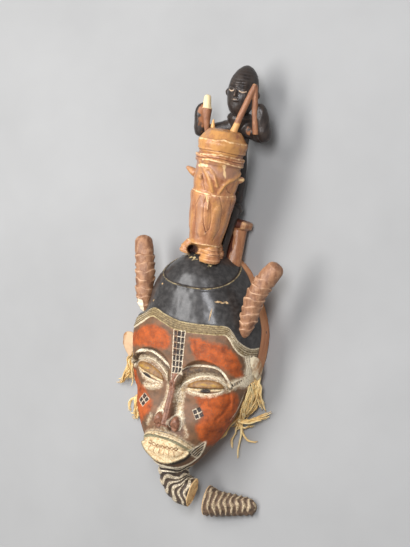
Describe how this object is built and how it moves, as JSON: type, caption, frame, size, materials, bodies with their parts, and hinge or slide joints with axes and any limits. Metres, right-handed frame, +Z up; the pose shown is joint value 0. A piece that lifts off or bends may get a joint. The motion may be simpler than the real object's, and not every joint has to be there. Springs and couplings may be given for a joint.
{
  "type": "carved face mask with drummer superstructure",
  "caption": "Painted wooden face mask with horns, a black cap, a tall drum and a seated drummer above it, and a snapped curved beard, lying on its open back.",
  "frame": {"origin": "middle of the box round the whole part, on the plane that the back rim rests on", "axes": "+Z up out of the face, square to the back rim; +Y from the chin to the drummer's head; +X to the side that the beard turns to"},
  "size_m": [0.2023, 0.4882, 0.0923],
  "materials": {
    "painted_wood": "satin painted and rubbed",
    "striped_wood": "matt painted",
    "raffia": "dry fibre"
  },
  "bodies": {
    "root": {"carved_mask": "painted_wood", "beard_tip": "striped_wood", "raffia_fringe_right": "raffia", "raffia_fringe_left": "raffia"}
  },
  "joints": []
}
